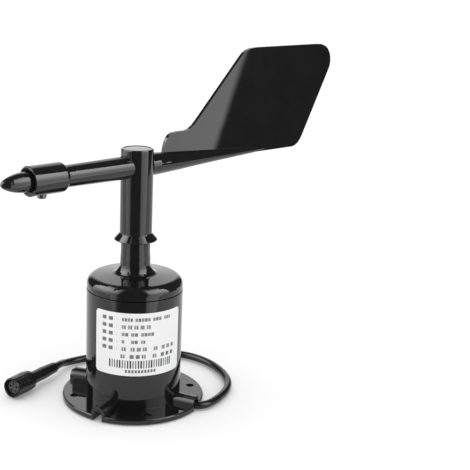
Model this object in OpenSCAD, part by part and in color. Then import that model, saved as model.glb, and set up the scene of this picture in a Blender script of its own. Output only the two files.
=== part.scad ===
// Wind vane with a fixed round base, a turning vane and a short signal lead.
// Origin: mast axis at the underside of the base flange, +Z up.

/* [Base] */
// Outer diameter of the mounting flange
flange_d = 80; // [76:0.5:84]
// Thickness of the mounting flange
flange_t = 3; // [2.5:0.1:3.5]
// Diameter of the circle that the four mounting holes lie on
bolt_circle_d = 68; // [64:0.5:70]
// Diameter of each mounting hole
bolt_hole_d = 4.5; // [3.5:0.1:5]
// Outer diameter of the housing cylinder
body_d = 53.6; // [53:0.1:54.2]
// Inner diameter of the housing cylinder
body_bore = 48.8; // [48.6:0.1:49]
// Height of the joint between housing and cover
seam_z = 65; // [64:0.5:66]
// Angle of the cable channels from the row axes
channel_turn = 2.8; // [0:0.1:5]
// Outer half width of a cable channel hump
channel_r = 3.9; // [3.8:0.1:4.4]
// Inner half width of a cable channel
channel_in = 2.6; // [2.55:0.05:2.8]
// Direction of the side outlet boss on the flange
stub_az = 192; // [188:1:196]

/* [Neck and shaft] */
// Diameter of the neck at its top
neck_d = 16.2; // [16:0.1:16.4]
// Height of the neck's top end
neck_top = 95; // [94.5:0.1:95.2]
// Diameter of the spindle
shaft_d = 5; // [4.9:0.1:5]
// Outer diameter of the two ball bearings
bearing_d = 11; // [10.8:0.1:11]

/* [Vane] */
// Direction of the tail at rest, from +X
vane_yaw = 70.8; // [0:0.1:360]
// Outer diameter of the hub
hub_d = 17.8; // [17.4:0.1:18]
// Height of the hub's lower rim
hub_z0 = 92.6; // [92:0.1:93]
// Height of the hub's upper rim
hub_z1 = 143.2; // [142.5:0.1:144]
// Height of the arm and boom axis
arm_z = 133.4; // [133:0.1:134]
// Thickness of the tail fin
fin_t = 2.2; // [1.6:0.1:2.6]
// Diameter of the arm where the trim weight slides
arm_d = 11.6; // [11:0.1:11.8]
// Outer diameter of the trim weight
collar_d = 15.6; // [15:0.1:16]
// Distance of the nose tip from the mast axis
nose_tip = 86.2; // [84:0.1:88]

/* [Lead and connector] */
// Diameter of the signal lead
lead_d = 4.4; // [4:0.1:4.5]
// Outer diameter of the coupling nut
nut_d = 11.6; // [11.4:0.1:11.8]
// Length of the coupling nut
nut_len = 16; // [15:0.5:17]
// Position of the connector axis along X
plug_x = -53; // [-53.2:0.1:-52.8]
// Height of the connector axis
plug_z = 5.9; // [5.9:0.1:6.2]
// Direction that the connector faces, from +X
plug_az = 267; // [266:0.5:268]

/* [Hidden] */
$fn = 96;

black = [0.045, 0.045, 0.05];
rubber = [0.07, 0.07, 0.07];
steel = [0.72, 0.73, 0.75];
brass = [0.80, 0.62, 0.30];

flange_r = flange_d / 2;
body_r = body_d / 2;
bore_r = body_bore / 2;
cover_r = 26.7;
hub_r = hub_d / 2;
shaft_r = shaft_d / 2;
race_r = bearing_d / 2;
ball_ring = (shaft_r + race_r) / 2;
ball_r = 0.78;
screw_az = [90, 210, 330];     // cover screws
plate_az = [30, 150, 270];     // bottom plate screws
grommet = [8, 0.4];            // where the lead passes the bottom plate

// Height of each piece along the mast
plate_z = 17;
plate_t = 2.2;
gasket_t = 0.6;
ledge_z = plate_z + plate_t + gasket_t;
mid_z = 46;
board_z = 55.4;
board_t = 1.6;
low_brg = 64;
up_brg = 89;
brg_w = 5;

// Route of the lead: down through the grommet, along the channel,
// out of the arch and round behind the base to the connector
route = [
  [8, 0.4, 26], [8, 0.4, 20], [8, 0.4, 14.5], [8.7, 0.4, 10.4],
  [10.8, 0.5, 6.7], [14.1, 0.7, 4], [18, 0.9, 2.6], [22, 1.1, 2.4],
  [27, 1.3, 2.4], [32, 1.6, 2.4], [36, 1.8, 2.4], [38, 2.1, 2.4],
  [40, 2.9, 2.4], [41.8, 4.3, 2.4], [43.2, 6.1, 2.4], [44.2, 8.5, 2.4],
  [44.8, 12, 2.3], [45.2, 16, 2.3], [45.2, 21, 2.3], [44, 31, 2.3],
  [40.2, 41, 2.3], [34, 49.5, 2.3], [25.5, 57, 2.3], [15, 62.8, 2.3],
  [4.5, 65.3, 2.3], [-5, 64.8, 2.3], [-14.5, 61.2, 2.3],
  [-25, 54.5, 2.3], [-35.5, 45.2, 2.3], [-44.5, 35.2, 2.3],
  [-50.2, 27, 2.3], [-53.8, 19.5, 2.5], [-55, 13.5, 3.2], [-54.7, 8, 4.5],
  [-53.6, 2.6, 5.6], [-53.08, -2.2, 5.9]];

// Outline of the fin: distance along the tail, height
fin_pts = [
  [17.2, 134], [18, 139.2], [18.5, 142], [19.3, 144.8], [20.5, 146.9],
  [22, 148.4], [24.2, 149.4], [27.8, 149.8], [33.8, 149.8],
  [36.7, 150.4], [39.7, 152.2], [42.6, 155], [75.3, 188.9],
  [77.4, 190.8], [79.7, 192.1], [83.1, 193.1], [88, 193.5],
  [139.6, 193.6], [144.2, 193.3], [148.1, 192], [150.3, 190.4],
  [152.2, 187.9], [153.1, 185.4], [153.4, 182.5], [153.1, 179.9],
  [151.5, 176.7], [130.8, 138.2], [129.4, 136], [127.5, 134.1],
  [125.1, 132.6], [122.2, 132], [92, 132], [60, 132.6], [30, 132.6]];

function unit(v) = v / norm(v);
function cr(a, b) = [a[1]*b[2]-a[2]*b[1], a[2]*b[0]-a[0]*b[2], a[0]*b[1]-a[1]*b[0]];
function tangent(p, i) = unit(p[min(i+1, len(p)-1)] - p[max(i-1, 0)]);
// The first stretch stands upright, so its side vector is given
function side(t) = norm(cr([0,0,1], t)) < 0.05 ? [0,1,0] : unit(cr([0,0,1], t));
function ring(p, i, r, n) = let(t = i == len(p)-1 ? [cos(plug_az), sin(plug_az), 0] : tangent(p, i), s = side(t), u = cr(t, s))
  [for (k = [0:n-1]) p[i] + r * (cos(360*k/n) * s + sin(360*k/n) * u)];

module tube(p, r, n) {
  m = len(p);
  polyhedron(
    points = [for (i = [0:m-1]) each ring(p, i, r, n)],
    faces = concat(
      [[for (k = [0:n-1]) k]],
      [for (i = [0:m-2], k = [0:n-1]) [i*n + k, (i+1)*n + k, (i+1)*n + (k+1)%n, i*n + (k+1)%n]],
      [[for (k = [n-1:-1:0]) (m-1)*n + k]]),
    convexity = 10);
}

// Round solid from radius/height pairs
module turned(pts) { rotate_extrude() polygon(pts); }
module ringtube(r1, r0, z0, z1) {
  translate([0, 0, z0]) difference() {
    cylinder(r = r1, h = z1 - z0);
    translate([0, 0, -1]) cylinder(r = r0, h = z1 - z0 + 2);
  }
}
// Upright arch outline, half width w and crown height h
module arch2d(w, h) {
  translate([-w, 0]) square([2*w, h - w]);
  translate([0, h - w]) circle(r = w, $fn = 64);
}
module arch(w, h, x0, x1) {
  translate([x0, 0, 0]) rotate([90, 0, 90]) linear_extrude(x1 - x0) arch2d(w, h);
}
// Pan head screw, head underside at z = 0, head below, shank upwards
module pan_screw(head_r, head_h, shank_r, len) {
  turned([[0, -head_h], [head_r*0.72, -head_h], [head_r*0.93, -head_h*0.8],
    [head_r, -head_h*0.45], [head_r, 0], [shank_r, 0], [shank_r, len-1],
    [shank_r*0.5, len], [0, len]]);
}
module slotted(head_r, head_h, shank_r, len) {
  difference() {
    pan_screw(head_r, head_h, shank_r, len);
    for (a = [0, 90]) rotate(a)
      translate([-head_r*0.55, -0.3, -head_h - 1]) cube([head_r*1.1, 0.6, 1 + head_h*0.5]);
  }
}

// ---------- fixed base ----------

module base_housing() color(black) difference() {
  union() {
    // flange, rounded at its rim
    turned([[0, 0], [flange_r-0.3, 0], [flange_r, 0.3], [flange_r, flange_t-0.8],
      [flange_r-0.11, flange_t-0.4], [flange_r-0.4, flange_t-0.11], [flange_r-0.8, flange_t], [0, flange_t]]);
    cylinder(r = body_r, h = seam_z - 0.25);
    // cable channel humps
    intersection() {
      for (a = [0:90:270]) rotate(a + channel_turn) arch(channel_r, 8, 20, flange_r + 1);
      cylinder(r = flange_r - 0.05, h = 20);
    }
    // side outlet boss
    rotate(stub_az) arch(4.6, 11.8, 20, 35.5);
  }
  // underside hollow and upper cavity
  translate([0, 0, -1]) cylinder(r = bore_r, h = ledge_z + 1);
  translate([0, 0, ledge_z - 0.5]) difference() {
    cylinder(r = bore_r, h = seam_z);
    // ledge and bosses of the bottom plate
    translate([0, 0, 0]) ringtube(bore_r + 1, 20, 0, 3.5);
    for (a = plate_az) rotate(a) translate([20.8, 0, 0]) cylinder(r = 3.2, h = 9);
    // ledge of the cover screws
    ringtube(bore_r + 1, 17.2, mid_z - ledge_z + 0.5, mid_z - ledge_z + 3.5);
  }
  // pilot holes of the plate screws, clearance holes of the cover screws
  for (a = plate_az) rotate(a) translate([20.8, 0, 15]) cylinder(r = 1.25, h = 12.4, $fn = 32);
  for (a = screw_az) rotate(a) translate([20.8, 0, mid_z-1]) cylinder(r = 1.7, h = 5, $fn = 32);
  // cable channels, open underneath and at the rim
  for (a = [0:90:270]) rotate(a + channel_turn) translate([0, 0, -1]) arch(channel_in, 7, 22, flange_r + 2);
  // flared side of the channel that the lead leaves by
  rotate(channel_turn) translate([33, 0, -1]) rotate(8) arch(channel_in, 7, 0, 10);
  // mounting holes
  for (a = [45:90:315]) rotate(a) translate([bolt_circle_d/2, 0, -1]) cylinder(r = bolt_hole_d/2, h = 6, $fn = 64);
}

// Outer profile of the cover: short wall, rounded shoulder, flat cone, flared foot, neck
cover_out = concat(
  [[cover_r, seam_z+0.25], [cover_r, seam_z+2.6]],
  [for (a = [8:8:80]) [cover_r-4.9 + 4.9*cos(a), seam_z+2.6 + 4.9*sin(a)]],
  [[cover_r-4.9, seam_z+7.5], [17, 73.02], [14.6, 73.3]],
  [for (a = [84:-12:0]) [13.4 - 5*cos(a), 80 - 6.6*sin(a)]],
  [[8.37, 82], [8.2, 84.2], [neck_d/2, 88], [neck_d/2, neck_top-0.4], [neck_d/2-0.4, neck_top]]);

module top_cover() color(black) difference() {
  union() {
    turned(concat(
      [[22, 58.5], [24.25, 58.5], [24.25, 61], [23.1, 61], [23.1, 62.8], [24.25, 62.8], [24.25, seam_z+0.25]],
      cover_out,
      [[0, neck_top], [0, low_brg], [8, low_brg], [8, 72.3], [11, 72.1], [18.6, 71], [21.2, 69.4], [22, 67]]));
    for (a = screw_az) rotate(a) translate([20.8, 0, mid_z+3]) cylinder(r = 3.2, h = 20, $fn = 48);
    for (a = plate_az) rotate(a) translate([13, 0, board_z+board_t]) cylinder(r = 2.4, h = 15, $fn = 48);
  }
  // groove of the seal, cut through the screw bosses as well
  ringtube(25, 23.1, 61, 62.8);
  translate([0, 0, low_brg-1]) cylinder(r = race_r, h = brg_w+1);
  translate([0, 0, low_brg]) cylinder(r = 4.5, h = 40);
  translate([0, 0, up_brg]) cylinder(r = race_r, h = 10);
  for (a = screw_az) rotate(a) translate([20.8, 0, mid_z+2]) cylinder(r = 1.45, h = 13, $fn = 32);
  for (a = plate_az) rotate(a) translate([13, 0, board_z]) cylinder(r = 0.95, h = 9, $fn = 32);
}

module cover_seal() color(rubber)
  rotate_extrude() translate([23.75, 61.9]) circle(r = 0.55, $fn = 32);

module cover_screws() color(steel)
  for (a = screw_az) rotate(a) translate([20.8, 0, mid_z]) slotted(2.75, 2.1, 1.45, 12);

module bottom_plate() color([0.12, 0.12, 0.13]) difference() {
  translate([0, 0, plate_z]) cylinder(r = bore_r - 0.2, h = plate_t);
  translate([grommet[0], grommet[1], plate_z-1]) cylinder(r = 4, h = 5, $fn = 48);
  for (a = plate_az) rotate(a) translate([20.8, 0, plate_z-1]) cylinder(r = 1.6, h = 5, $fn = 32);
}

module bottom_gasket() color(rubber) difference() {
  ringtube(bore_r - 0.2, 20.2, plate_z + plate_t, ledge_z);
  for (a = plate_az) rotate(a) translate([20.8, 0, plate_z]) cylinder(r = 1.7, h = 5, $fn = 32);
}

module plate_screws() color(steel)
  for (a = plate_az) rotate(a) translate([20.8, 0, plate_z]) slotted(2.6, 2, 1.25, 9.5);

module cable_grommet() color(rubber) translate([grommet[0], grommet[1], 0]) difference() {
  turned([[0, plate_z-4.6], [2.9, plate_z-4.6], [3.9, plate_z-1.4], [5.4, plate_z-1.4], [5.4, plate_z],
    [4, plate_z], [4, plate_z+plate_t], [5.2, plate_z+plate_t], [5.2, plate_z+plate_t+1.2],
    [4.4, plate_z+plate_t+2.6], [0, plate_z+plate_t+2.6]]);
  translate([0, 0, plate_z-6]) cylinder(r = lead_d/2 + 0.06, h = 14);
  translate([0, 0, plate_z-6]) cylinder(r1 = lead_d/2 + 0.5, r2 = lead_d/2 + 0.06, h = 4);
}

module circuit_board() color([0.06, 0.30, 0.14]) difference() {
  translate([0, 0, board_z]) cylinder(r = 16.4, h = board_t);
  for (a = plate_az) rotate(a) translate([13, 0, board_z-1]) cylinder(r = 1.2, h = 4, $fn = 32);
}

module angle_sensor_chip() color([0.1, 0.1, 0.1]) {
  translate([-3, -2.6, board_z+board_t+0.1]) cube([6, 5.2, 0.9]);
  for (x = [-2.4:1.6:2.4], s = [-1, 1])
    translate([x-0.25, s > 0 ? 2.6 : -3.6, board_z+board_t]) cube([0.5, 1, 0.3]);
}

module board_terminal() color([0.85, 0.85, 0.8]) difference() {
  translate([grommet[0]-4.5, -3.3, board_z-5.6]) cube([9, 7.2, 5.6]);
  for (x = [-1, 1], y = [-1, 1]) translate([grommet[0]+0.95*x, grommet[1]+0.95*y, board_z-6.6])
    cylinder(r = 0.6, h = 4, $fn = 24);
}

module board_screws() color(steel)
  for (a = plate_az) rotate(a) translate([13, 0, board_z]) slotted(1.9, 1.4, 0.95, 8);

module signal_leads() for (x = [-1, 1], y = [-1, 1])
  color(x > 0 ? (y > 0 ? [0.7, 0.1, 0.1] : [0.15, 0.5, 0.2]) : (y > 0 ? [0.15, 0.3, 0.7] : [0.85, 0.85, 0.8]))
    translate([grommet[0]+0.95*x, grommet[1]+0.95*y, 26]) cylinder(r = 0.6, h = board_z-3.6-26, $fn = 24);

// Bearing parts: grooved rings and a ring of balls
module outer_race(z) color(steel) difference() {
  ringtube(race_r, 4.42, z, z + brg_w);
  rotate_extrude() translate([ball_ring, z + brg_w/2]) circle(r = ball_r+0.05, $fn = 32);
}
module inner_race(z) color(steel) difference() {
  ringtube(3.58, shaft_r, z, z + brg_w);
  rotate_extrude() translate([ball_ring, z + brg_w/2]) circle(r = ball_r+0.02, $fn = 32);
}
module balls(z) color(steel) for (a = [0:45:315]) rotate(a)
  translate([ball_ring, 0, z + brg_w/2]) sphere(r = ball_r, $fn = 32);

module upper_bearing_outer_race() outer_race(up_brg);
module lower_bearing_outer_race() outer_race(low_brg);
module upper_bearing_inner_race() inner_race(up_brg);
module lower_bearing_inner_race() inner_race(low_brg);
module upper_bearing_balls() balls(up_brg);
module lower_bearing_balls() balls(low_brg);

module neck_dust_seal() color(rubber) ringtube(race_r, 3.55, up_brg + brg_w, neck_top - 0.2);

module label() color([0.93, 0.93, 0.92])
  rotate(-108.5) rotate_extrude(angle = 113) translate([body_r, 22.8]) square([0.15, 35.8]);

module signal_cable() color(rubber) tube(route, lead_d/2, 10);

// ---------- connector, lying beside the base ----------

module along_plug() translate([plug_x, -0.7, plug_z]) rotate(plug_az - 270) rotate([90, 0, 0]) children();

module connector_boot() color(rubber) along_plug() difference() {
  turned([[0, 1.5], [2.85, 1.5], [3.05, 1.8], [3.7, 13.5], [0, 13.5]]);
  for (z = [3.6:2.2:10.2]) for (s = [0, 1]) translate([0, 0, z]) rotate(s*90)
    for (m = [0, 180]) rotate(m) rotate_extrude(angle = 70) translate([2.9, 0]) square([1.2, 1]);
}

module connector_body() color([0.08, 0.08, 0.085]) along_plug() turned([
  [0, 13.5], [3.5, 13.5], [3.65, 13.8], [3.65, 25.6], [4.4, 25.6], [4.4, 26.8], [3.3, 26.8], [3.3, 28], [0, 28]]);

module connector_insert() color([0.1, 0.1, 0.11]) along_plug() difference() {
  translate([0, 0, 28]) cylinder(r = 3.7, h = 10.6);
  for (k = [0:4]) rotate(k*72 + 90) translate([2.25, 0, 30]) cylinder(r = 0.6, h = 12, $fn = 24);
  translate([-0.55, 3.2, 33]) cube([1.1, 1, 8]);
}

module connector_contacts() color(brass) along_plug()
  for (k = [0:4]) rotate(k*72 + 90) translate([2.25, 0, 30]) difference() {
    cylinder(r = 0.6, h = 7.6, $fn = 24);
    translate([0, 0, 2]) cylinder(r = 0.38, h = 8, $fn = 24);
  }

module connector_seal() color([0.25, 0.09, 0.06]) along_plug()
  rotate_extrude() translate([3.85, 27.4]) circle(r = 0.5, $fn = 24);

module coupling_nut() color([0.08, 0.08, 0.085]) along_plug() difference() {
  turned([[0, 24.4], [4.7, 24.4], [nut_d/2-0.35, 25], [nut_d/2-0.3, 27], [nut_d/2, 27.4], [nut_d/2, 31.4],
    [nut_d/2-0.25, 31.7], [nut_d/2-0.25, 32.3], [nut_d/2, 32.6], [nut_d/2, 39.6], [nut_d/2-0.4, 24.4+nut_len], [0, 24.4+nut_len]]);
  translate([0, 0, 20]) cylinder(r = 3.72, h = 10);
  translate([0, 0, 25.45]) cylinder(r = 4.85, h = 20);
  // thread, drawn as plain grooves
  for (z = [29:1.5:38]) translate([0, 0, z]) rotate_extrude() polygon([[4.2, 0], [5.15, 0.35], [5.15, 0.65], [4.2, 1]]);
  translate([0, 0, 39.8]) cylinder(r1 = 4.85, r2 = 5.25, h = 1);
  // finger grooves
  for (k = [0:7]) rotate(k*45 + 22.5) translate([nut_d/2 + 0.35, 0, 27.6]) cylinder(r = 0.75, h = 20, $fn = 24);
}

// ---------- turning vane, built with the tail along +X ----------

module yawed() rotate(vane_yaw) children();
// Round solid about the arm axis, pairs of radius / distance
module armwise(pts, dir = 1) translate([0, 0, arm_z]) rotate([0, 90*dir, 0]) rotate_extrude() polygon(pts);

module vane_hub() color(black) yawed() difference() {
  turned([[0, 94], [3.4, 94], [3.4, 97], [9.1, 96], [9.6, hub_z0-0.1], [11.5, hub_z0-0.1], [11.85, hub_z0+0.15],
    [11.8, hub_z0+0.5], [hub_r+0.15, 96.2], [hub_r, 96.8], [hub_r, hub_z1-0.6], [hub_r-0.18, hub_z1-0.18],
    [hub_r-0.6, hub_z1], [0, hub_z1]]);
  translate([0, 0, 90]) cylinder(r = shaft_r, h = 32);
  translate([0, 0, 120]) cylinder(r = 2.1, h = 10, $fn = 48);
  translate([0, 0, 124]) cylinder(r = 4.6, h = 30);
  translate([0, 0, 140]) cylinder(r = 7.4, h = 10);
  // sockets of the boom and the arm
  translate([5.2, 0, arm_z]) rotate([0, 90, 0]) cylinder(r = 4, h = 10);
  translate([-5.2, 0, arm_z]) rotate([0, -90, 0]) cylinder(r = 4, h = 10);
}

module hub_cap() color(black) yawed() turned([[0, 140], [7.3, 140], [7.3, 142.1], [7.1, 142.3], [4, 142.55], [0, 142.65]]);

module hub_washer() color(steel) ringtube(4.3, 2.1, 124, 124.8);

module hub_nut() color(steel) difference() {
  translate([0, 0, 124.8]) cylinder(r = 4.04, h = 3.2, $fn = 6);
  translate([0, 0, 124]) cylinder(r = 1.95, h = 6, $fn = 48);
}

module shaft() color(steel) difference() {
  turned([[0, 61.3], [shaft_r, 61.3], [shaft_r, 122], [1.95, 122], [1.95, 129.2], [1.6, 129.7], [0, 129.7]]);
  ringtube(4, 2.15, 63.1, 63.7);
}

module front_arm() color(black) yawed() difference() {
  union() {
    armwise([[0, 5.4], [4, 5.4], [4, 9.5], [0, 9.5]], -1);
    difference() {
      armwise([[0, 6], [6.3, 6], [6.27, 9], [arm_d/2+0.02, 43.5], [arm_d/2, 44], [arm_d/2, 67.7], [arm_d/2-0.3, 68], [0, 68]], -1);
      translate([0, 0, 100]) cylinder(r = hub_r, h = 60);
    }
  }
  translate([-60, 0, arm_z]) rotate([0, -90, 0]) cylinder(r = 3.5, h = 10);
}

module nose_cone() color(black) yawed() armwise([[0, 60.2], [3.5, 60.2], [3.5, 68], [5.2, 68], [5.25, 72.5],
  [5.15, 74.5], [4.9, 76.5], [4.5, 78.5], [3.95, 80.5], [3.3, 82.3], [2.55, 83.9], [1.85, 85], [1.1, 85.75], [0.5, 86.1], [0, nose_tip]], -1);

module tail_vane() color(black) yawed() {
  difference() {
    union() {
      armwise([[0, 7], [6.25, 7], [6.2, 12.5], [5.8, 20], [5.25, 30], [4.6, 40], [4, 50], [3.42, 60],
        [2.85, 71], [2.4, 79], [2, 87], [1.6, 93], [1.12, 99], [0, 99.2]], 1);
      translate([0, fin_t/2, 0]) rotate([90, 0, 0]) linear_extrude(fin_t) polygon(fin_pts);
    }
    translate([0, 0, 100]) cylinder(r = hub_r, h = 60);
  }
  armwise([[0, 5.4], [4, 5.4], [4, 9.5], [0, 9.5]], 1);
}

module bearing_spacer() color(steel) ringtube(3.3, shaft_r, low_brg + brg_w, up_brg);

module shaft_circlip() color(steel) difference() {
  ringtube(3.9, 2.16, 63.15, 63.65);
  translate([0, -0.8, 62]) cube([6, 1.6, 3]);
}

module magnet_holder() color(brass) difference() {
  ringtube(4.2, shaft_r, 59.2, 62.9);
  translate([0, 0, 58]) cylinder(r = 3, h = 3.2);
}

module sensing_magnet() color([0.6, 0.6, 0.62]) translate([0, 0, 59.2]) cylinder(r = 3, h = 2);

// ---------- trim weight on the front arm ----------

module counterweight_collar() color(black) yawed() difference() {
  armwise([[0, 48.5], [collar_d/2-1.9, 48.5], [collar_d/2-1.4, 48.75], [collar_d/2-0.2, 50.3], [collar_d/2, 51], [collar_d/2, 70.1],
    [collar_d/2-0.3, 70.5], [0, 70.5]], -1);
  translate([-40, 0, arm_z]) rotate([0, -90, 0]) cylinder(r = arm_d/2 + 0.06, h = 40);
  translate([-68.6, 0, arm_z]) rotate([0, -90, 0]) cylinder(r = 6.9, h = 4);
  // seat and hole of the trim screw
  translate([-62, 0, arm_z-12]) cylinder(r = 2.7, h = 4.8, $fn = 48);
  translate([-62, 0, arm_z-12]) cylinder(r = 1.45, h = 10, $fn = 32);
}

module collar_screw() color(steel) yawed()
  translate([-62, 0, arm_z-7.2]) slotted(2.5, 2.4, 1.45, 1.2);

base_housing();
top_cover();
cover_seal();
cover_screws();
bottom_plate();
bottom_gasket();
plate_screws();
cable_grommet();
circuit_board();
angle_sensor_chip();
board_terminal();
board_screws();
signal_leads();
upper_bearing_outer_race();
lower_bearing_outer_race();
neck_dust_seal();
label();
signal_cable();
connector_boot();
connector_body();
connector_insert();
connector_contacts();
connector_seal();
vane_hub();
hub_cap();
hub_nut();
hub_washer();
tail_vane();
front_arm();
nose_cone();
shaft();
upper_bearing_inner_race();
lower_bearing_inner_race();
upper_bearing_balls();
lower_bearing_balls();
bearing_spacer();
shaft_circlip();
magnet_holder();
sensing_magnet();
counterweight_collar();
collar_screw();
coupling_nut();
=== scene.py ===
import bpy, bmesh, math
import numpy as np
from mathutils import Matrix, Vector


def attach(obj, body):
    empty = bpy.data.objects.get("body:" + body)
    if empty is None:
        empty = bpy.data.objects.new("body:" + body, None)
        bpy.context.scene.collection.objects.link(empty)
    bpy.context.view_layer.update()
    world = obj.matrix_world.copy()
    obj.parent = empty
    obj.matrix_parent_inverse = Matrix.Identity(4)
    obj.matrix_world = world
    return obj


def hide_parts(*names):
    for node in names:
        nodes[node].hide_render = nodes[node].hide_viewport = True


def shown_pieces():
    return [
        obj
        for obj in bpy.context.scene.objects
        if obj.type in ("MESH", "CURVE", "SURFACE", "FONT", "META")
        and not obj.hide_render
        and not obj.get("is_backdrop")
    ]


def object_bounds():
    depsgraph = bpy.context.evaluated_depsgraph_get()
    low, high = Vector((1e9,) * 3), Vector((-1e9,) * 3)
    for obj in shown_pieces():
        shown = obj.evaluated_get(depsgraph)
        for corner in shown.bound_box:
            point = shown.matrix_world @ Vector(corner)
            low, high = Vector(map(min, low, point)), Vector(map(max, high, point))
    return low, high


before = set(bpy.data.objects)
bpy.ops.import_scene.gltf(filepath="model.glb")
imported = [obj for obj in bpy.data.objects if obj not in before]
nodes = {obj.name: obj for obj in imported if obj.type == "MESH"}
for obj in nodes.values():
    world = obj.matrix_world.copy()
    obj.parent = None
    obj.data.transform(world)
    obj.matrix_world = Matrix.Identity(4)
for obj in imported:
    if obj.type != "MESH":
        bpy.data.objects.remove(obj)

CAD_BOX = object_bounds()
MM = 0.001
scene = bpy.context.scene
col = scene.collection
rad = math.radians


# ------------------------------------------------------------------ camera
def make_camera():
    cam_data = bpy.data.cameras.new("camera")
    cam = bpy.data.objects.new("camera", cam_data)
    col.objects.link(cam)
    pitch, pan, roll = rad(15.1192), rad(1.6618), rad(1.5012)
    cp, sp, ca, sa = math.cos(pitch), math.sin(pitch), math.cos(pan), math.sin(pan)
    fw = Vector((sa * cp, ca * cp, -sp))
    rt = Vector((ca, -sa, 0))
    up = rt.cross(fw)
    cr, sr = math.cos(roll), math.sin(roll)
    rt2, up2 = cr * rt + sr * up, -sr * rt + cr * up
    m = Matrix((( rt2.x, up2.x, -fw.x), (rt2.y, up2.y, -fw.y), (rt2.z, up2.z, -fw.z))).to_4x4()
    turn = Matrix.Rotation(rad(31), 4, "Z")
    cam.matrix_world = turn @ Matrix.Translation(Vector((0, -0.552198, 0.244421))) @ m
    cam_data.sensor_width = 36
    cam_data.lens = 1042.33 * 36 / 470
    cam_data.shift_x = 0.5 - 165 / 470
    cam_data.clip_start = 0.01
    cam_data.clip_end = 50
    scene.camera = cam
    return cam


camera = make_camera()
scene.view_settings.view_transform = "Standard"
scene.view_settings.look = "None"


# ------------------------------------------------------------------ signal lead
ROUTE = [
    (8, 0.4, 26), (8, 0.4, 20), (8, 0.4, 14.5), (8.7, 0.4, 10.4), (10.8, 0.5, 6.7), (14.1, 0.7, 4), (18, 0.9, 2.6),
    (22, 1.1, 2.4), (27, 1.3, 2.4), (32, 1.6, 2.4), (36, 1.8, 2.4), (38, 2.1, 2.4), (40, 2.9, 2.4), (41.8, 4.3, 2.4),
    (43.2, 6.1, 2.4), (44.2, 8.5, 2.4), (44.8, 12, 2.3), (45.2, 16, 2.3), (45.2, 21, 2.3), (44, 31, 2.3),
    (40.2, 41, 2.3), (34, 49.5, 2.3), (25.5, 57, 2.3), (15, 62.8, 2.3), (4.5, 65.3, 2.3), (-5, 64.8, 2.3),
    (-14.5, 61.2, 2.3), (-25, 54.5, 2.3), (-35.5, 45.2, 2.3), (-44.5, 35.2, 2.3), (-50.2, 27, 2.3), (-53.8, 19.5, 2.5),
    (-55, 13.5, 3.2), (-54.7, 8, 4.5), (-53.6, 2.6, 5.6), (-53.08, -2.2, 5.9)]
LEAD_D = 4.4 * MM


def make_lead():
    cu = bpy.data.curves.new("signal_lead", "CURVE")
    cu.dimensions = "3D"
    cu.bevel_depth = 1.0        # times each point's radius, half the diameter
    cu.bevel_resolution = 7
    cu.use_fill_caps = True
    cu.resolution_u = 8
    sp = cu.splines.new("BEZIER")
    sp.bezier_points.add(len(ROUTE) - 1)
    for bp, p in zip(sp.bezier_points, ROUTE):
        bp.co = Vector(p) * MM
        bp.radius = LEAD_D / 2
        bp.handle_left_type = bp.handle_right_type = "AUTO"
    o = bpy.data.objects.new("signal_lead", cu)
    col.objects.link(o)
    bpy.context.view_layer.update()
    dg = bpy.context.evaluated_depsgraph_get()
    bps = sp.bezier_points
    from mathutils.geometry import interpolate_bezier
    for a, b in zip(bps[:-1], bps[1:]):
        q = interpolate_bezier(a.co, a.handle_right, b.handle_left, b.co, 12)
    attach(o, "base")
    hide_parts("signal_cable")
    return o


lead = make_lead()


# ------------------------------------------------------------------ node helpers
class Tree:
    def __init__(self, tree):
        self.t = tree

    def node(self, kind, **kw):
        n = self.t.nodes.new(kind)
        for k, v in kw.items():
            setattr(n, k, v)
        return n

    def link(self, a, b):
        self.t.links.new(a, b)

    def put(self, socket, value):
        if isinstance(value, bpy.types.NodeSocket):
            self.link(value, socket)
        else:
            socket.default_value = value

    def math(self, op, a, b=0.0, c=None, clamp=False):
        n = self.node("ShaderNodeMath", operation=op, use_clamp=clamp)
        self.put(n.inputs[0], a)
        self.put(n.inputs[1], b)
        if c is not None:
            self.put(n.inputs[2], c)
        return n.outputs[0]

    def maprange(self, v, a, b, c, d, smooth=False):
        n = self.node("ShaderNodeMapRange")
        n.interpolation_type = "SMOOTHSTEP" if smooth else "LINEAR"
        n.clamp = True
        self.put(n.inputs[0], v)
        for i, x in zip((1, 2, 3, 4), (a, b, c, d)):
            self.put(n.inputs[i], x)
        return n.outputs[0]

    def ramp(self, fac, stops, mode="LINEAR"):
        n = self.node("ShaderNodeValToRGB")
        n.color_ramp.interpolation = mode
        e = n.color_ramp.elements
        while len(e) > 1:
            e.remove(e[-1])
        e[0].position = stops[0][0]
        e[0].color = self.rgba(stops[0][1])
        for p, c in stops[1:]:
            x = e.new(p)
            x.color = self.rgba(c)
        self.put(n.inputs[0], fac)
        return n.outputs[0]

    @staticmethod
    def rgba(c):
        if isinstance(c, (int, float)):
            return (c, c, c, 1)
        return tuple(c) + ((1,) if len(c) == 3 else ())

    def mixf(self, fac, a, b):
        n = self.node("ShaderNodeMix", data_type="FLOAT")
        self.put(n.inputs[0], fac)
        self.put(n.inputs[2], a)
        self.put(n.inputs[3], b)
        return n.outputs[0]

    def mixc(self, fac, a, b, blend="MIX"):
        n = self.node("ShaderNodeMix", data_type="RGBA", blend_type=blend)
        self.put(n.inputs[0], fac)
        self.put(n.inputs[6], self.rgba(a) if not isinstance(a, bpy.types.NodeSocket) else a)
        self.put(n.inputs[7], self.rgba(b) if not isinstance(b, bpy.types.NodeSocket) else b)
        return n.outputs[2]


# ------------------------------------------------------------------ materials
def material(name):
    m = bpy.data.materials.new(name)
    m.use_nodes = True
    t = Tree(m.node_tree)
    return m, t, m.node_tree.nodes["Principled BSDF"]


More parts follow.
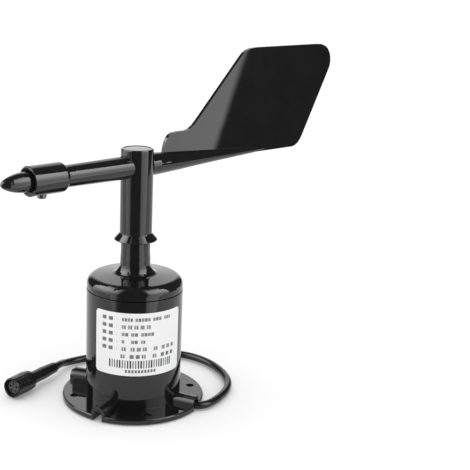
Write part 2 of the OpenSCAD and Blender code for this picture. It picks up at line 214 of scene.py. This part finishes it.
def noise(t, scale, detail=3.0, rough=0.5, vec=None, stretch=None):
    tc = t.node("ShaderNodeTexCoord")
    v = tc.outputs["Object"]
    if stretch:
        mp = t.node("ShaderNodeMapping")
        t.link(v, mp.inputs["Vector"])
        mp.inputs["Scale"].default_value = stretch
        v = mp.outputs[0]
    n = t.node("ShaderNodeTexNoise")
    n.inputs["Scale"].default_value = scale
    n.inputs["Detail"].default_value = detail
    n.inputs["Roughness"].default_value = rough
    t.link(v, n.inputs["Vector"])
    return n.outputs["Fac"]


def edged_normal(t, height, strength, distance, radius):
    """Bump over softly rounded edges."""
    b = t.node("ShaderNodeBump")
    b.inputs["Strength"].default_value = strength
    b.inputs["Distance"].default_value = distance
    t.link(height, b.inputs["Height"])
    if radius:
        e = t.node("ShaderNodeBevel")
        e.samples = 4
        e.inputs["Radius"].default_value = radius
        t.link(e.outputs[0], b.inputs["Normal"])
    return b.outputs[0]


def gloss_plastic(name, dark, light, r0, r1, ior=1.5, wave=0.10, radius=0.00022, grain=900):
    """Moulded plastic: near-black pigment with faint clouding, flow waviness and very fine surface dust."""
    m, t, b = material(name)
    cloud = noise(t, 55, 4, 0.6)
    speck = noise(t, 2600, 2, 0.7)
    flow = noise(t, 34, 2, 0.45)
    c = t.ramp(cloud, [(0.3, dark), (0.72, light)])
    dust = t.ramp(speck, [(0.70, 0.0), (0.80, 1.0)])
    b2 = t.mixc(t.math("MULTIPLY", dust, 0.10), c, tuple(min(1, x * 5 + 0.01) for x in light))
    t.link(b2, b.inputs["Base Color"])
    rg = t.maprange(noise(t, 120, 5, 0.65), 0.3, 0.75, r0, r1)
    rg = t.math("ADD", rg, t.math("MULTIPLY", dust, 0.12))
    t.link(rg, b.inputs["Roughness"])
    b.inputs["IOR"].default_value = ior
    fine = noise(t, grain, 3, 0.6)
    h = t.math("ADD", flow, t.math("MULTIPLY", fine, 0.003))
    t.link(edged_normal(t, h, wave, 0.0006, radius), b.inputs["Normal"])
    return m


def satin_plastic(name, dark, light, r0, r1, grain=1500, strength=0.25, radius=0.0002, spec=0.5):
    m, t, b = material(name)
    b.inputs["Specular IOR Level"].default_value = spec
    c = t.ramp(noise(t, 90, 4, 0.6), [(0.3, dark), (0.7, light)])
    t.link(c, b.inputs["Base Color"])
    t.link(t.maprange(noise(t, 300, 4, 0.6), 0.3, 0.7, r0, r1), b.inputs["Roughness"])
    t.link(edged_normal(t, noise(t, grain, 4, 0.6), strength, 0.00008, radius), b.inputs["Normal"])
    return m


def metal(name, c0, c1, r0, r1, stretch=(1, 1, 1), scale=900, radius=0.0001):
    m, t, b = material(name)
    n = noise(t, scale, 5, 0.6, stretch=stretch)
    t.link(t.ramp(n, [(0.3, c0), (0.7, c1)]), b.inputs["Base Color"])
    b.inputs["Metallic"].default_value = 1.0
    t.link(t.maprange(n, 0.3, 0.7, r0, r1), b.inputs["Roughness"])
    t.link(edged_normal(t, n, 0.12, 0.00004, radius), b.inputs["Normal"])
    return m


HOUSING = gloss_plastic("housing_black_gloss", (0.0070, 0.0070, 0.0076), (0.0105, 0.0105, 0.0112), 0.03, 0.06, wave=0.045)
VANE = gloss_plastic("vane_black_gloss", (0.0072, 0.0072, 0.0078), (0.0108, 0.0108, 0.0115), 0.012, 0.028, wave=0.02)
INNER = satin_plastic("inner_black_plastic", (0.018, 0.018, 0.02), (0.03, 0.03, 0.032), 0.4, 0.55)
CONN = satin_plastic("connector_black", (0.008, 0.008, 0.009), (0.014, 0.014, 0.015), 0.20, 0.30, grain=1100, strength=0.15, spec=0.38)
INSERT = satin_plastic("insert_grey_black", (0.030, 0.030, 0.031), (0.045, 0.045, 0.046), 0.34, 0.46)
JACKET = satin_plastic("lead_jacket_pvc", (0.008, 0.008, 0.008), (0.013, 0.013, 0.013), 0.16, 0.26, grain=1300, strength=0.16, radius=0, spec=0.3)
RUBBER = satin_plastic("black_rubber", (0.012, 0.012, 0.012), (0.022, 0.022, 0.021), 0.5, 0.7, grain=2200, strength=0.35)
RED = satin_plastic("red_brown_seal", (0.16, 0.03, 0.018), (0.22, 0.05, 0.03), 0.45, 0.6)
STEEL = metal("screw_steel", (0.42, 0.42, 0.43), (0.60, 0.60, 0.61), 0.18, 0.34)
DARK_STEEL = metal("darkened_screw_steel", (0.10, 0.10, 0.10), (0.20, 0.20, 0.20), 0.22, 0.36)
BEARING = metal("bearing_steel", (0.56, 0.57, 0.58), (0.68, 0.69, 0.70), 0.08, 0.18)
BRASS = metal("contact_brass", (0.60, 0.42, 0.16), (0.74, 0.55, 0.25), 0.16, 0.30)
MAGNET = metal("magnet_nickel", (0.50, 0.50, 0.49), (0.62, 0.61, 0.60), 0.12, 0.24)


def board_material():
    m, t, b = material("board_green")
    n = noise(t, 260, 2, 0.5)
    tracks = t.ramp(noise(t, 420, 1, 0.4, stretch=(1, 0.15, 1)), [(0.50, 0.0), (0.53, 1.0)])
    base = t.ramp(n, [(0.3, (0.010, 0.055, 0.022)), (0.7, (0.014, 0.075, 0.030))])
    t.link(t.mixc(tracks, base, (0.03, 0.13, 0.06)), b.inputs["Base Color"])
    t.link(t.maprange(n, 0.3, 0.7, 0.22, 0.36), b.inputs["Roughness"])
    return m


def cores_material():
    """Four coloured cores, told apart by which side of the lead they stand on."""
    m, t, b = material("lead_cores")
    tc = t.node("ShaderNodeTexCoord")
    sep = t.node("ShaderNodeSeparateXYZ")
    t.link(tc.outputs["Object"], sep.inputs[0])
    right = t.math("GREATER_THAN", sep.outputs[0], 0.008)
    back = t.math("GREATER_THAN", sep.outputs[1], 0.0004)
    a = t.mixc(back, (0.03, 0.20, 0.06), (0.42, 0.03, 0.03))
    c = t.mixc(back, (0.60, 0.60, 0.56), (0.04, 0.09, 0.40))
    n = noise(t, 800, 3, 0.6)
    t.link(t.mixc(t.math("MULTIPLY", n, 0.25), t.mixc(right, c, a), (0.02, 0.02, 0.02)), b.inputs["Base Color"])
    t.link(t.maprange(n, 0.3, 0.7, 0.35, 0.5), b.inputs["Roughness"])
    return m


def film_material():
    """White printed film: faint paper tone, a soft satin coat and a slight orange peel."""
    m, t, b = material("label_film")
    n = noise(t, 70, 4, 0.6)
    t.link(t.ramp(n, [(0.3, (0.80, 0.80, 0.80)), (0.7, (0.84, 0.84, 0.845))]), b.inputs["Base Color"])
    t.link(t.maprange(noise(t, 400, 4, 0.6), 0.3, 0.7, 0.42, 0.55), b.inputs["Roughness"])
    t.link(edged_normal(t, noise(t, 1500, 3, 0.6), 0.08, 0.00005, 0), b.inputs["Normal"])
    return m


def ink_material(name, dark, light):
    m, t, b = material(name)
    n = noise(t, 2400, 3, 0.7)
    t.link(t.ramp(n, [(0.35, dark), (0.75, light)]), b.inputs["Base Color"])
    t.link(t.maprange(n, 0.3, 0.7, 0.5, 0.65), b.inputs["Roughness"])
    b.inputs["Specular IOR Level"].default_value = 0.3
    return m


BOARD, CORES, FILM = board_material(), cores_material(), film_material()
INK = ink_material("label_ink", (0.02, 0.02, 0.021), (0.05, 0.05, 0.05))
INK2 = ink_material("label_ink_grey", (0.13, 0.13, 0.13), (0.22, 0.22, 0.22))

PAINT = {
    HOUSING: ["base_housing", "top_cover"],
    VANE: ["vane_hub", "hub_cap", "tail_vane", "front_arm", "nose_cone", "counterweight_collar"],
    INNER: ["bottom_plate", "board_terminal", "angle_sensor_chip"],
    CONN: ["connector_body", "coupling_nut", "connector_boot"],
    INSERT: ["connector_insert"],
    RUBBER: ["cover_seal", "bottom_gasket", "cable_grommet", "neck_dust_seal"],
    RED: ["connector_seal"],
    DARK_STEEL: ["collar_screw"],
    FILM: ["label"],
    STEEL: ["cover_screws", "plate_screws", "board_screws", "hub_nut", "hub_washer", "shaft", "shaft_circlip", "bearing_spacer"],
    BEARING: ["upper_bearing_outer_race", "lower_bearing_outer_race", "upper_bearing_inner_race", "lower_bearing_inner_race",
              "upper_bearing_balls", "lower_bearing_balls"],
    BRASS: ["connector_contacts", "magnet_holder"],
    MAGNET: ["sensing_magnet"],
    BOARD: ["circuit_board"],
    CORES: ["signal_leads"],
    JACKET: ["signal_cable"],
}
for mat, names in PAINT.items():
    for n in names:
        ob = nodes[n]
        if not ob.material_slots:
            ob.data.materials.append(mat)
        for sl in ob.material_slots:
            sl.material = mat
lead.data.materials.append(JACKET)


# ------------------------------------------------------------------ label
LR = 26.8          # radius of the housing
L0, L1 = -108.5, 4.5
Z0, Z1 = 22.8, 58.6


def wrap(u, z, r):
    """u in mm along the label from its left edge."""
    a = rad(L0) + u / LR
    return Vector((r * math.cos(a), r * math.sin(a), z)) * MM


def mesh_object(name, bm, mat):
    me = bpy.data.meshes.new(name)
    bmesh.ops.recalc_face_normals(bm, faces=bm.faces)
    bm.to_mesh(me)
    bm.free()
    for p in me.polygons:
        p.use_smooth = True
    o = bpy.data.objects.new(name, me)
    col.objects.link(o)
    for mm_ in (mat if isinstance(mat, list) else [mat]):
        me.materials.append(mm_)
    return o


def label_film():
    """Wrapped sheet with round corners, 0.12 mm thick."""
    W, H, R = rad(L1 - L0) * LR, Z1 - Z0, 2.2
    zs = sorted({0.0, H} | {R - R * math.cos(rad(a)) for a in range(0, 91, 15)} | {H - (R - R * math.cos(rad(a))) for a in range(0, 91, 15)}
                | {R + (H - 2 * R) * i / 8 for i in range(9)})
    bm = bmesh.new()
    cols = 64
    grid = {}
    for k, z in enumerate(zs):
        d = min(z, H - z)
        cut = 0.0 if d >= R else R - math.sqrt(max(0.0, R * R - (R - d) ** 2))
        for i in range(cols + 1):
            u = cut + (W - 2 * cut) * i / cols
            for s, r in ((0, LR + 0.01), (1, LR + 0.13)):
                grid[s, k, i] = bm.verts.new(wrap(u, Z0 + z, r))
    nk = len(zs)
    for k in range(nk - 1):
        for i in range(cols):
            bm.faces.new([grid[1, k, i], grid[1, k, i + 1], grid[1, k + 1, i + 1], grid[1, k + 1, i]])
            bm.faces.new([grid[0, k, i], grid[0, k + 1, i], grid[0, k + 1, i + 1], grid[0, k, i + 1]])
        for i in (0, cols):
            bm.faces.new([grid[0, k, i], grid[1, k, i], grid[1, k + 1, i], grid[0, k + 1, i]])
    for i in range(cols):
        for k in (0, nk - 1):
            bm.faces.new([grid[0, k, i], grid[0, k, i + 1], grid[1, k, i + 1], grid[1, k, i]])
    o = mesh_object("label_sheet", bm, FILM)
    for e in o.data.edges:
        pass
    md = o.modifiers.new("edge", "EDGE_SPLIT")
    md.split_angle = rad(50)
    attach(o, "base")
    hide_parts("label")
    return o


def block(bm, u0, u1, z0, z1, index, taper=0.0):
    """One printed block on the label, a thin closed plate."""
    n = max(1, int(math.ceil((u1 - u0) / 1.2)))
    rows = []
    for i in range(n + 1):
        u = u0 + (u1 - u0) * i / n
        rows.append([bm.verts.new(wrap(u, z, r)) for z, r in ((z0, LR + 0.125), (z0, LR + 0.150), (z1, LR + 0.150), (z1, LR + 0.125))])
    fs = []
    for a, b in zip(rows[:-1], rows[1:]):
        for j in range(4):
            fs.append(bm.faces.new([a[j], b[j], b[(j + 1) % 4], a[(j + 1) % 4]]))
    fs.append(bm.faces.new(rows[0]))
    fs.append(bm.faces.new(list(reversed(rows[-1]))))
    for f in fs:
        f.material_index = index


def label_marks():
    """Plain blocks and ruled bars in place of printed words."""
    bm = bmesh.new()

    def U(theta):       # angle from the front of the label, in degrees
        return rad(theta - (-49.5)) * LR

    top = Z1
    rows = [3.6, 7.8, 12.0, 16.2, 20.4]
    for k, d in enumerate(rows):
        zc = top - d
        block(bm, U(-39), U(-33.6), zc - 1.05, zc + 1.05, 1)
        block(bm, U(-30.4), U(-25.0), zc - 1.05, zc + 1.05, 1)
        for s in (-0.55, 0.55):
            block(bm, U(-20.6), U(-19.9), zc + s - 0.16, zc + s + 0.16, 1)
    words = [
        (3.6, [(-14.4, -1), (1.2, 19.5), (21.8, 33.5), (36.5, 46)], 0.95),
        (7.8, [(-14.4, -9), (-7.2, -1.8), (0, 5.4), (7.2, 12.6), (14.4, 19.8)], 1.1),
        (12.0, [(-14.4, -6), (-3.4, 5), (8, 24)], 0.95),
        (16.2, [(-14.4, -10.5), (-3.4, 5), (8, 13.6)], 0.95),
        (20.4, [(-14.4, -8.8), (-3.8, 1.6), (3.2, 8.6), (10.2, 15.6), (23.4, 28.8), (34, 39.2), (41, 46), (48, 53)], 1.1),
        (24.6, [(-15.4, -9.8), (-4.8, 0.6), (2.2, 7.6), (9.2, 14.6), (22.4, 27.8), (33, 38.2), (40, 45), (47, 52)], 1.1),
    ]
    for d, spans, h in words:
        zc = top - d
        for a, b in spans:
            n = max(1, round((b - a) / 3.6))
            step = (b - a) / n
            for i in range(n):
                x0 = a + i * step
                block(bm, U(x0 + 0.25), U(x0 + step - 0.45), zc - h, zc + h, 1 if (i + round(d)) % 2 else 2)
    # ruled bars of two widths in a plain repeat
    n = 25
    for i in range(n):
        a = -28.5 + i * (75.0 / (n - 1))
        w = (1.45, 0.85, 0.85, 1.15)[i % 4] * 0.62
        block(bm, U(a) - w * 0.5, U(a) + w * 0.5, top - 31.4, top - 26.9, 0)
    for i in range(10):
        a = -10 + i * 3.75
        block(bm, U(a + 0.3), U(a + 2.9), top - 34.0, top - 32.3, 1)
    o = mesh_object("label_print", bm, [INK, INK2, ink_material("label_ink_light", (0.22, 0.22, 0.22), (0.32, 0.32, 0.32))])
    for p in o.data.polygons:
        p.use_smooth = False
    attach(o, "base")
    return o


label_film()
label_marks()


def hub_cap_piece():
    """Cap that closes the hub nearly flush, with a rounded edge and a faint dome."""
    prof = [(0, 140.05), (6.9, 140.05), (7.3, 140.3), (7.3, 142.78)]
    prof += [(7.08 + 0.22 * math.cos(rad(a)), 142.78 + 0.22 * math.sin(rad(a))) for a in (15, 30, 45, 60, 75, 90)]
    prof += [(5.6, 143.04), (3.8, 143.07), (1.9, 143.09), (0, 143.10)]
    bm = bmesh.new()
    n = 120
    rings = []
    for r, z in prof:
        if r == 0:
            rings.append([bm.verts.new((0, 0, z * MM))])
        else:
            rings.append([bm.verts.new((r * MM * math.cos(2 * math.pi * i / n), r * MM * math.sin(2 * math.pi * i / n), z * MM)) for i in range(n)])
    for a, b in zip(rings, rings[1:]):
        for i in range(n):
            j = (i + 1) % n
            if len(a) == 1:
                bm.faces.new((a[0], b[i], b[j]))
            elif len(b) == 1:
                bm.faces.new((a[i], a[j], b[0]))
            else:
                bm.faces.new((a[i], a[j], b[j], b[i]))
    o = mesh_object("hub_cap_flush", bm, VANE)
    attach(o, "vane")
    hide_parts("hub_cap")
    return o


hub_cap_piece()


# ------------------------------------------------------------------ studio
SIDES = ((-118, 0.0), (-115, 2.2), (-76, 2.3), (-70, 1.9), (-46, 1.4), (-40, 0.35), (-35, 0.0),
         (28, 0.0), (32, 1.2), (40, 1.8), (80, 2.3), (84, 2.5), (92, 2.5), (95, 0.0))
BACK = ((-180, 1.4), (-165, 1.3), (-153, 0.0), (153, 0.0), (165, 1.3), (180, 1.4))
EDGE = 84.5     # where the right box ends
FILL = (1.0, 1.25)


def make_world():
    w = bpy.data.worlds.new("studio")
    scene.world = w
    w.use_nodes = True
    t = Tree(w.node_tree)
    w.node_tree.nodes.clear()
    out = t.node("ShaderNodeOutputWorld")
    tc = t.node("ShaderNodeTexCoord")
    sep = t.node("ShaderNodeSeparateXYZ")
    t.link(tc.outputs["Generated"], sep.inputs[0])
    x, y, z = sep.outputs
    # azimuth measured from the front of the set, elevation in degrees
    f0 = rad(-59)
    c = t.math("ADD", t.math("MULTIPLY", x, math.cos(f0)), t.math("MULTIPLY", y, math.sin(f0)))
    r = t.math("ADD", t.math("MULTIPLY", x, -math.sin(f0)), t.math("MULTIPLY", y, math.cos(f0)))
    az = t.math("DEGREES", t.math("ARCTAN2", r, c), 0.0)
    el = t.math("DEGREES", t.math("ARCSINE", z), 0.0)
    # the edges of the boxes lean a little
    az = t.math("SUBTRACT", az, t.math("MULTIPLY", t.math("MINIMUM", t.math("MAXIMUM", t.math("ADD", el, 8.2), -8.0), 8.0), 0.28))
    fac = t.math("DIVIDE", t.math("ADD", az, 180), 360.0)

    def at(deg):
        return (deg + 180) / 360.0

    # two tall soft boxes either side of a dark front, and a bright backdrop; the ramp holds tenths
    sides = t.ramp(fac, [(at(d), v * 0.1) for d, v in SIDES])
    back = t.ramp(fac, [(at(d), v * 0.1) for d, v in BACK])
    sides = t.math("MULTIPLY", sides, t.maprange(az, EDGE - 0.2, EDGE + 0.2, 1, 0, True))
    lift = t.math("MULTIPLY", t.maprange(el, 0, 30, 1.0, 2.7, True), t.maprange(el, 44, 74, 1, 0, True))
    sides = t.math("MULTIPLY", t.math("MULTIPLY", sides, 10.0), lift)
    back = t.math("MULTIPLY", t.math("MULTIPLY", back, 10.0), t.maprange(el, 40, 54, 1, 0, True))
    env = t.math("ADD", t.math("ADD", sides, back), 0.07)
    bg = t.node("ShaderNodeBackground")
    t.link(env, bg.inputs["Strength"])
    bg.inputs["Color"].default_value = (1, 1, 1, 1)
    soft = t.node("ShaderNodeBackground")
    soft.inputs["Color"].default_value = (1, 1, 1, 1)
    t.link(t.maprange(el, -10, 70, FILL[0], FILL[1]), soft.inputs["Strength"])
    white = t.node("ShaderNodeBackground")
    white.inputs["Color"].default_value = (1, 1, 1, 1)
    white.inputs["Strength"].default_value = 1.0
    lp = t.node("ShaderNodeLightPath")
    m0 = t.node("ShaderNodeMixShader")
    t.link(lp.outputs["Is Diffuse Ray"], m0.inputs[0])
    t.link(bg.outputs[0], m0.inputs[1])
    t.link(soft.outputs[0], m0.inputs[2])
    mix = t.node("ShaderNodeMixShader")
    t.link(lp.outputs["Is Camera Ray"], mix.inputs[0])
    t.link(m0.outputs[0], mix.inputs[1])
    t.link(white.outputs[0], mix.inputs[2])
    t.link(mix.outputs[0], out.inputs[0])
    w.cycles.sampling_method = "NONE"


make_world()


def plane(name, corners, z):
    me = bpy.data.meshes.new(name)
    me.from_pydata([(x, y, z) for x, y in corners], [], [list(range(len(corners)))])
    o = bpy.data.objects.new(name, me)
    col.objects.link(o)
    o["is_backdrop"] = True
    return o


def floor_material():
    m = bpy.data.materials.new("pale_floor")
    m.use_nodes = True
    t = Tree(m.node_tree)
    b = m.node_tree.nodes["Principled BSDF"]
    n = t.node("ShaderNodeTexNoise")
    n.inputs["Scale"].default_value = 60
    t.link(t.ramp(n.outputs["Fac"], [(0.3, 0.80), (0.7, 0.83)]), b.inputs["Base Color"])
    b.inputs["Roughness"].default_value = 0.9
    b.inputs["Specular IOR Level"].default_value = 0.0
    b.inputs["Emission Color"].default_value = (1, 1, 1, 1)
    b.inputs["Emission Strength"].default_value = 0.12
    return m


FLOOR = floor_material()
floor = plane("floor", [(-6, -6), (6, -6), (6, 6), (-6, 6)], -0.0006)
floor.data.materials.append(FLOOR)
floor.visible_glossy = False
# the part of the table that glossy faces mirror ends a little in front of the object
q = Matrix.Rotation(rad(-59), 2)
table = plane("table", [tuple(q @ Vector(p)) for p in ((0.125, -0.62), (0.125, 0.62), (-1.2, 0.62), (-1.2, -0.62))], -0.0003)
table.data.materials.append(FLOOR)
table.visible_camera = False
table.visible_diffuse = False
table.visible_shadow = False



def shown_box():
    """Box of the shown pieces, from their evaluated meshes."""
    bpy.context.view_layer.update()
    dg = bpy.context.evaluated_depsgraph_get()
    lo, hi = [1e9] * 3, [-1e9] * 3
    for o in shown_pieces():
        e = o.evaluated_get(dg)
        me = e.to_mesh()
        for v in me.vertices:
            p = e.matrix_world @ v.co
            for i in range(3):
                lo[i] = min(lo[i], p[i])
                hi[i] = max(hi[i], p[i])
        e.to_mesh_clear()
    return [[float(x) for x in lo], [float(x) for x in hi]]


if True:
    {"cad": [list(map(float, v)) for v in CAD_BOX], "visual": shown_box()}
